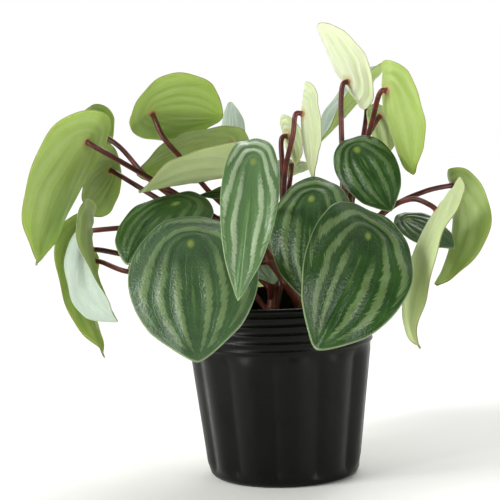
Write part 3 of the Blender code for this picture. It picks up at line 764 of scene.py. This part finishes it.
def leaf_pattern(tree):
    """How silver a point is, how near to a vein, and the values stored on the blade.

    Half a vein number is the middle of a band. Noise that changes quickly across a slanting side
    vein and slowly along it moves the band's edges, like the barbs of a feather.
    """
    number, ring, along = (add_node(tree, "Attribute", output=FAC, attribute_name=name)
                           for name in ("vein_number", "ring", "distance_mm"))
    flat = add_node(tree, "UVMap", uv_map="flat")
    drift = add_node(tree, "TexNoise", flat, 6.0, 1.0)
    number = add_node(tree, "Math", drift, 0.8, number, operation="MULTIPLY_ADD")
    number = add_node(tree, "Math", number, 0.4, operation="SUBTRACT")
    slanted = add_node(tree, "Math", number, 2.5, along, operation="MULTIPLY_ADD")
    barb_place = add_node(tree, "CombineXYZ", slanted, number, add_node(tree, "SeparateXYZ", flat))
    barbs = add_node(tree, "TexNoise", barb_place, 1.3, 3.0, 0.6)
    middle = add_node(tree, "Math", number, 0.5, operation="PINGPONG")
    ragged = add_node(tree, "Math", barbs, -0.55, middle, operation="MULTIPLY_ADD")
    silver = add_node(tree, "MapRange", ragged, -0.04, 0.08, **SMOOTH)
    reach = add_node(tree, "Math", barbs, 0.3, ring, operation="MULTIPLY_ADD")
    # The silver ends beside the midrib, past the last vein, near the joint and before the rim.
    for value, none, full in ((number, -0.05, 0.15), (number, 4.4, 3.6),
                              (reach, 0.38, 0.6), (reach, 1.12, 1.0)):
        silver = add_node(tree, "MapRange", value, none, full, 0.0, silver, **SMOOTH)
    vein = add_node(tree, "MapRange", middle, 0.05, 0.0, **SMOOTH)
    vein = add_node(tree, "MapRange", number, 4.2, 3.2, 0.0, vein)
    return silver, vein, number, ring, along, flat


print("a band is", VEIN_PITCH, "degrees of angle sum wide")

# %% Upper side
upper_skin, tree, shader = new_material("waxy striped leaf skin", 0.4, {
    "IOR": 1.4, "Subsurface Weight": 0.2, "Subsurface Scale": 1.5 * MM,
    "Subsurface Radius": (0.6, 1.0, 0.25)})
silver, vein, number, ring, along, flat = leaf_pattern(tree)
patchy = add_node(tree, "TexNoise", flat, 14.0, 4.0)
patches = add_node(tree, "MapRange", patchy, 0.3, 0.7)
young_and_painted_glow, painted_sheen, silver_and_painted_shade = (add_node(tree, "Attribute", output=FAC, attribute_name=name)
                          for name in ("young_and_painted_glow", "painted_sheen", "silver_and_painted_shade"))
# Both greens vary from patch to patch and are paler on a young leaf. The same stored value also
# lightens blades that glow with light from behind, which is painted light.
green = add_node(tree, "Mix", patches, "#213F17", "#2F521E", **COLOURS)
grey = add_node(tree, "Mix", patches, "#576E3E", "#6D8554", **COLOURS)
green = glazed(tree, green, [(young_and_painted_glow, 1.0, "#5B8046")])
grey = glazed(tree, grey, [(young_and_painted_glow, 1.0, "#A9BC98")])
# Leaves keep a stored share of their silver. Less silver is partly their own and partly painted
# shade on leaves that lie in shade, which turn darker for it.
silver = add_node(tree, "Math", silver, silver_and_painted_shade, operation="MULTIPLY")
striped = add_node(tree, "Mix", silver, green, grey, **COLOURS)
# The midrib shows as a pale line that fades out towards the tip.
midrib = add_node(tree, "MapRange", number, -0.36, -0.45)
midrib = add_node(tree, "MapRange", ring, 0.75, 0.1, 0.0, midrib)
rim = add_node(tree, "MapRange", ring, 0.982, 0.992, **SMOOTH)
# The joint shows through as a yellow-green spot, longer than it is wide.
spot = add_node(tree, "MapRange", along, 2.3, 0.5, **SMOOTH)
# The first glaze whitens the whole upper side of some leaves: a painted sheen, standing for the
# bright backdrop mirrored at a grazing angle.
colour = glazed(tree, striped, [
    (painted_sheen, 1.0, "#B4C2B4"), (vein, 0.1, "#5C8A45"), (midrib, 0.5, "#7E9E55"),
    (rim, 0.6, "#9AA97C"), (spot, 0.65, "#8C9F42")])
tree.links.new(colour, shader.inputs["Base Color"])
tree.links.new(add_node(tree, "MapRange", patchy, 0.3, 0.7, 0.3, 0.44), shader.inputs["Roughness"])
# Cells under the wax are about 0.6 mm here, coarser than life so that they show.
cells = add_node(tree, "TexVoronoi", flat, 160.0, feature="SMOOTH_F1")
level = add_node(tree, "Math", 1.0, vein, operation="SUBTRACT")
sunk = add_node(tree, "Bump", 0.3, 0.2 * MM, None, level)
tree.links.new(add_node(tree, "Bump", 0.8, 0.22 * MM, None, cells, sunk), shader.inputs["Normal"])
print("made", upper_skin.name)

# %% [markdown]
# ## The underside: pale and matt
#
# It has no silver and little green of its own. What shows is the light that comes through, with the
# veins and the bands only faintly. The very edge is a thin line, brown where it has dried.

# %% Underside
under_skin, tree, shader = new_material("pale leaf underside", 0.5, {
    "IOR": 1.4, "Subsurface Weight": 0.5, "Subsurface Scale": 2.0 * MM,
    "Subsurface Radius": (0.9, 1.0, 0.45)})
silver, vein, _, ring, along, flat = leaf_pattern(tree)
patchy = add_node(tree, "TexNoise", flat, 9.0, 4.0)
patches = add_node(tree, "MapRange", patchy, 0.25, 0.75)
pale = add_node(tree, "Mix", patches, "#94AA52", "#A6BA6C", **COLOURS)
young_and_painted_glow = add_node(tree, "Attribute", output=FAC, attribute_name="young_and_painted_glow")
rim = add_node(tree, "MapRange", ring, 0.985, 0.996)
collar = add_node(tree, "MapRange", along, 3.0, 1.6, **SMOOTH)
# The first glaze pales young leaves and, as painted light, blades that glow with light from behind.
colour = glazed(tree, pale, [
    (young_and_painted_glow, 1.0, "#D3D9BE"), (silver, 0.3, "#B4C586"), (vein, 0.16, "#86A552"),
    (rim, 0.75, "#6E6044"), (collar, 0.5, "#B9A36A")])
tree.links.new(colour, shader.inputs["Base Color"])
raised = add_node(tree, "Bump", 0.5, 0.2 * MM, None, vein)
tree.links.new(add_node(tree, "Bump", 0.3, 0.3 * MM, None, patchy, raised), shader.inputs["Normal"])
print("made", under_skin.name)

# %% [markdown]
# ## Building the blades
#
# One piece for each blade. The two skins share no points: they meet in a narrow rounded edge. The
# stored values are written for both skins in the same order as the points. Leaves of one plant
# differ: a young one is pale, and some show little silver. Painted light is stored here too: a
# painted sheen whitens some upper sides, as the bright backdrop mirrored at a grazing angle would,
# some pale blades stand for the glow of light from behind, and leaves in shade keep less silver.

# %% Blades
# For each trait, the leaves that differ, by number, and the value of all the others.
TRAITS = {
    # Young leaves are paler. The same value also paints the glow of blades lit from behind.
    "young_and_painted_glow": ({9: 0.5, 13: 0.7, 15: 0.7, 20: 0.3, 21: 0.45, 22: 0.15, 23: 1.0, 25: 0.5, 27: 0.75,
               28: 0.8, 29: 0.4}, 0),
    # A painted sheen: it whitens upper sides as the backdrop mirrored at a grazing angle would.
    "painted_sheen": ({5: 0.8, 10: 0.7, 13: 0.05, 14: 0.05, 15: 0.35, 20: 0.1, 26: 0.95, 28: 0.5}, 0),
    # Less silver is partly the leaf's own and partly painted shade on leaves in shade.
    "silver_and_painted_shade": ({12: 0.45, 14: 0.85, 15: 0.3, 17: 0.9, 19: 0.6, 20: 0.1}, 1),
}


def build_blade(name, leaf, number):
    """Upper skin, rounded edge and lower skin as the rings of one closed surface."""
    upper, lower, poles, veins, ring, distance, across, forward = blade_points(leaf, number)
    edge = (upper[-1:] + lower[-1:]) / 2
    edge = edge + EDGE_ROUND * unit(upper[-1:] - upper[-3:-2])
    surface = closed_surface(np.concatenate([upper, edge, lower[::-1]]), poles)
    skin = np.repeat([0, 1, 0, 1], np.array([BLADE_RINGS, BLADE_RINGS, 1, 1]) * BLADE_SPOKES)
    piece = make_piece(name.replace("leaf", "blade"), surface, [upper_skin, under_skin], skin)

    def both(values, at_pole):
        return np.concatenate([values, values[-1:], values[::-1]]).ravel().tolist() + [at_pole] * 2

    set_values(piece, "vein_number", both(veins, -MIDRIB_STRIP / VEIN_PITCH))
    set_values(piece, "ring", both(ring, 0))
    set_values(piece, "distance_mm", both(distance, 0))
    for trait, (leaves, usual) in TRAITS.items():
        set_values(piece, trait, np.full(len(surface[0]), leaves.get(int(name[-2:]), usual)))
    flat = np.stack([both(across / 100 + 0.5 * number, 0.5 * number),
                     both(forward / 100 + 0.5, 0.5)], axis=1)
    corner = np.empty(len(piece.data.loops), np.int32)
    piece.data.loops.foreach_get("vertex_index", corner)
    layer = piece.data.uv_layers.new(name="flat")
    layer.data.foreach_set("uv", flat[corner].astype(np.float32).ravel())
    return piece


for number, (name, leaf) in enumerate(LEAVES.items()):
    blade = build_blade(name, leaf, number)
    stand_in(blade, name)
print("blades:", len(LEAVES), "with", len(blade.data.polygons), "faces each")

# %% [markdown]
# ## Stems and stalks
#
# The stems are short, fleshy and knobbly where old leaves have dropped. The stalks are smooth round
# rods that thicken where they leave the stem and flare into a small collar under the blade. Both
# are a circle carried along a path. The path is a Catmull-Rom curve, which passes through every
# stated point without swinging wide. The circle's axes come from each tangent and one fixed
# direction across the path, so the tube never twists.

# %% Paths and tubes
STEM_RADIUS = 2.5
STEM_KNOB = 0.45  # how much a leaf scar swells a stem
STEM_ROWS, STEM_COLUMNS = 90, 24
STALK_RADIUS = 1.3
STALK_FOOT, STALK_FLARE = 0.9, 0.75  # added to it at the stem and under the blade
STALK_RUN_IN = 3.5  # the last stretch runs straight at the blade
STALK_ROWS, STALK_COLUMNS = 72, 16


def smooth_path(points, count):
    """Centripetal Catmull-Rom: three rounds of straight blending between knots, all at once."""
    p = np.array(points, float)
    p = np.vstack([2 * p[0] - p[1], p, 2 * p[-1] - p[-2]])
    knots = np.concatenate([[0], np.cumsum(np.sqrt(np.linalg.norm(np.diff(p, axis=0), axis=1)))])
    t = np.linspace(knots[1], knots[-2], count)
    i = np.clip(np.searchsorted(knots, t, side="right") - 2, 0, len(p) - 4)
    k = [knots[i + step][:, None] for step in range(4)]
    t = t[:, None]

    def along(start, end, low, high):
        return start + (end - start) * (t - low) / (high - low)

    a, b, c = (along(p[i + s], p[i + s + 1], k[s], k[s + 1]) for s in range(3))
    a, b = along(a, b, k[0], k[2]), along(b, c, k[1], k[3])
    return along(a, b, k[1], k[2])


def tube(path, radii, columns):
    """Circles of the given radii round a path, closed by a pole at each end."""
    tangent = unit(np.gradient(path, axis=0))
    chord = path[-1] - path[0]
    across = unit(np.cross(chord, [0.3, 0.2, 1.0]) + 1e-6)
    side = unit(np.cross(tangent, np.cross(across, tangent)))
    other = np.cross(tangent, side)
    angle = full_turn(columns)[:, None]
    ring = np.cos(angle) * side[:, None] + np.sin(angle) * other[:, None]
    rings = path[:, None] + ring * np.reshape(radii, (-1, 1, 1))
    points, quads, triangles = closed_surface(rings, path[[0, -1]])
    return points, quads[:, ::-1], triangles[:, ::-1]


def stem_tube(name):
    """The stem thins upwards, swells at each leaf scar, cos^4, and is rounded off at its top."""
    share = np.linspace(0, 1, STEM_ROWS)
    scars = np.maximum(np.cos(2 * np.pi * 5.5 * share), 0) ** 4
    radii = STEM_RADIUS * (1 - 0.15 * share) + STEM_KNOB * scars + 0.12 * np.sin(37 * share)
    radii[-6:] *= np.sqrt(np.linspace(1, 0.05, 6))
    return tube(smooth_path(STEMS[name], STEM_ROWS), radii, STEM_COLUMNS)


def stalk_tube(leaf):
    """The stalk swells at its foot and flares under the blade, where it ends in the lower skin."""
    start = smooth_path(STEMS[leaf.stem], 101)[round(leaf.rise * 100)]
    ends = [np.array(leaf.joint) - joint_normal(leaf) * behind for behind in (STALK_RUN_IN, 0.3)]
    path = smooth_path([start, *leaf.stalk, *ends], STALK_ROWS)
    share = np.linspace(0, 1, STALK_ROWS)
    radii = STALK_RADIUS * (1 - 0.1 * share) + STALK_FOOT * np.exp(-share / 0.03)
    radii += STALK_FLARE * smooth_share(share, 0.965, 1)
    return tube(path, radii, STALK_COLUMNS)


print("a stem is a tube of", STEM_ROWS, "rings and a stalk one of", STALK_ROWS)

# %% [markdown]
# ## The red skin of stalks and stems
#
# The stalks are full of red pigment, close to brown in shade and bright where light comes through.
# Fine pale flecks are scattered over them. Just under the blade the red gives way to a pale tan. A
# number stored along each stalk, 0 at its foot and 1 at the blade, drives that change.

# %% Stalk material
stalk_skin, tree, shader = new_material("red-brown stalk skin", 0.36, {
    "IOR": 1.45, "Subsurface Weight": 0.2, "Subsurface Scale": 1.5 * MM,
    "Subsurface Radius": (1.0, 0.25, 0.15)})
place = add_node(tree, "TexCoord", output=OBJECT)
share = add_node(tree, "Attribute", output=FAC, attribute_name="share")
mottled = add_node(tree, "TexNoise", place, 1 / (4 * MM), 3.0)
mottled = add_node(tree, "MapRange", mottled, 0.35, 0.65)
red = add_node(tree, "Mix", mottled, "#441F1A", "#702C24", **COLOURS)
woody = add_node(tree, "MapRange", share, 0.05, 0.01)
collar = add_node(tree, "MapRange", share, 0.955, 0.99, **SMOOTH)
flecked = add_node(tree, "TexVoronoi", place, 1 / (1.3 * MM))
flecked = add_node(tree, "MapRange", flecked, 0.2, 0.08)
colour = glazed(tree, red, [
    (woody, 1.0, "#6B3527"), (collar, 1.0, "#B98A5C"), (flecked, 0.4, "#B07E60")])
tree.links.new(colour, shader.inputs["Base Color"])
fine = add_node(tree, "TexNoise", place, 1 / (1.2 * MM), 2.0)
tree.links.new(add_node(tree, "Bump", 0.5, 0.12 * MM, None, fine), shader.inputs["Normal"])
print("made", stalk_skin.name)

# %% Stems with their stalks
def build_stem(name):
    """One mesh of the stem and of every stalk that springs from it, joined by overlapping."""
    tubes = [stem_tube(name)] + [stalk_tube(leaf) for leaf in LEAVES.values() if leaf.stem == name]
    piece = make_piece("stem_and_stalks_" + name, joined(tubes), [stalk_skin])
    stem_share = np.zeros(len(tubes[0][0]))
    stalk_share = np.repeat(np.linspace(0.02, 1, STALK_ROWS), STALK_COLUMNS)
    stalk_share = np.append(stalk_share, [0.02, 1])
    set_values(piece, "share", np.concatenate([stem_share] + [stalk_share] * (len(tubes) - 1)))
    return piece


for name in STEMS:
    stem = build_stem(name)
    stand_in(stem, "stem_" + name)
    print(stem.name, "has", len(stem.data.polygons), "faces")

# %% [markdown]
# ## Floor and light
#
# A pale floor that runs far back, and a bright backdrop, as for a product picture. The surround is
# bright behind the plant and dim in front of it. So the black pot stays black in the middle and
# turns light at its sides, where it mirrors the backdrop. One broad sun from the upper left front
# models the leaves, and one from behind makes the thin blades glow. Two weak upright strips, one at
# each side of the front, add soft streaks to the lobes of the pot.

# %% Floor
FLOOR_REACH = 4000  # mm from the axis to each side
FLOOR_TOP = -0.02  # a hair under the pot, so that the two don't share a plane
FLOOR_FOOT = -20

corners = np.array([[-1, -1], [1, -1], [1, 1], [-1, 1]]) * FLOOR_REACH
points = [np.column_stack([corners, np.full(4, level)]) for level in (FLOOR_TOP, FLOOR_FOOT)]
quads = [[0, 1, 2, 3], [7, 6, 5, 4], [0, 4, 5, 1], [1, 5, 6, 2], [2, 6, 7, 3], [3, 7, 4, 0]]
paint, _, _ = new_material("pale matt floor paint", 0.8, {"Base Color": linear("#F4F3F0")})
floor = make_piece("floor", (np.concatenate(points), quads, np.zeros((0, 3), int)), [paint])
floor.data.shade_flat()
print("floor:", 2 * FLOOR_REACH * MM, "m wide")

# %% Lights
PLANT_MIDDLE = (0, 0, 120)  # mm


def add_light(name, kind, place, watts, **settings):
    """A light that looks at the middle of the plant. A sun's strength is in W per square metre."""
    light = bpy.data.lights.new(name, kind)
    light.energy = watts
    for key, value in settings.items():
        setattr(light, key, value)
    set_up(add_object(name, light), place, unit(np.subtract(place, PLANT_MIDDLE)))


add_light("key", "SUN", (-1000, -450, 850), 2.1, angle=math.radians(20))
add_light("behind", "SUN", (300, 900, 900), 1.45, angle=math.radians(35))
add_light("left strip", "AREA", (-560, -480, 150), 2.0, shape="RECTANGLE", size=0.04, size_y=0.3)
add_light("right strip", "AREA", (560, -480, 150), 1.8, shape="RECTANGLE", size=0.1, size_y=0.3)

world = bpy.data.worlds.new("bright backdrop")
bpy.context.scene.world = world
world.use_nodes = True
tree = world.node_tree
background = tree.nodes["Background"]
# A direction's Y runs from -1 in front of the plant to 1 behind it.
toward_back = add_node(tree, "SeparateXYZ", add_node(tree, "TexCoord"), output=1)
strength = add_node(tree, "MapRange", toward_back, -0.2, 0.5, 0.1, 1.05, **SMOOTH)
# What the camera sees directly is plain white.
seen = add_node(tree, "MapRange", add_node(tree, "LightPath"), 0.0, 1.0, strength, 1.0)
tree.links.new(seen, background.inputs["Strength"])
background.inputs["Color"].default_value = linear("#FFFFFF")
bpy.context.scene.view_settings.view_transform = "Standard"
print("2 suns and 2 strips in front of a bright backdrop")
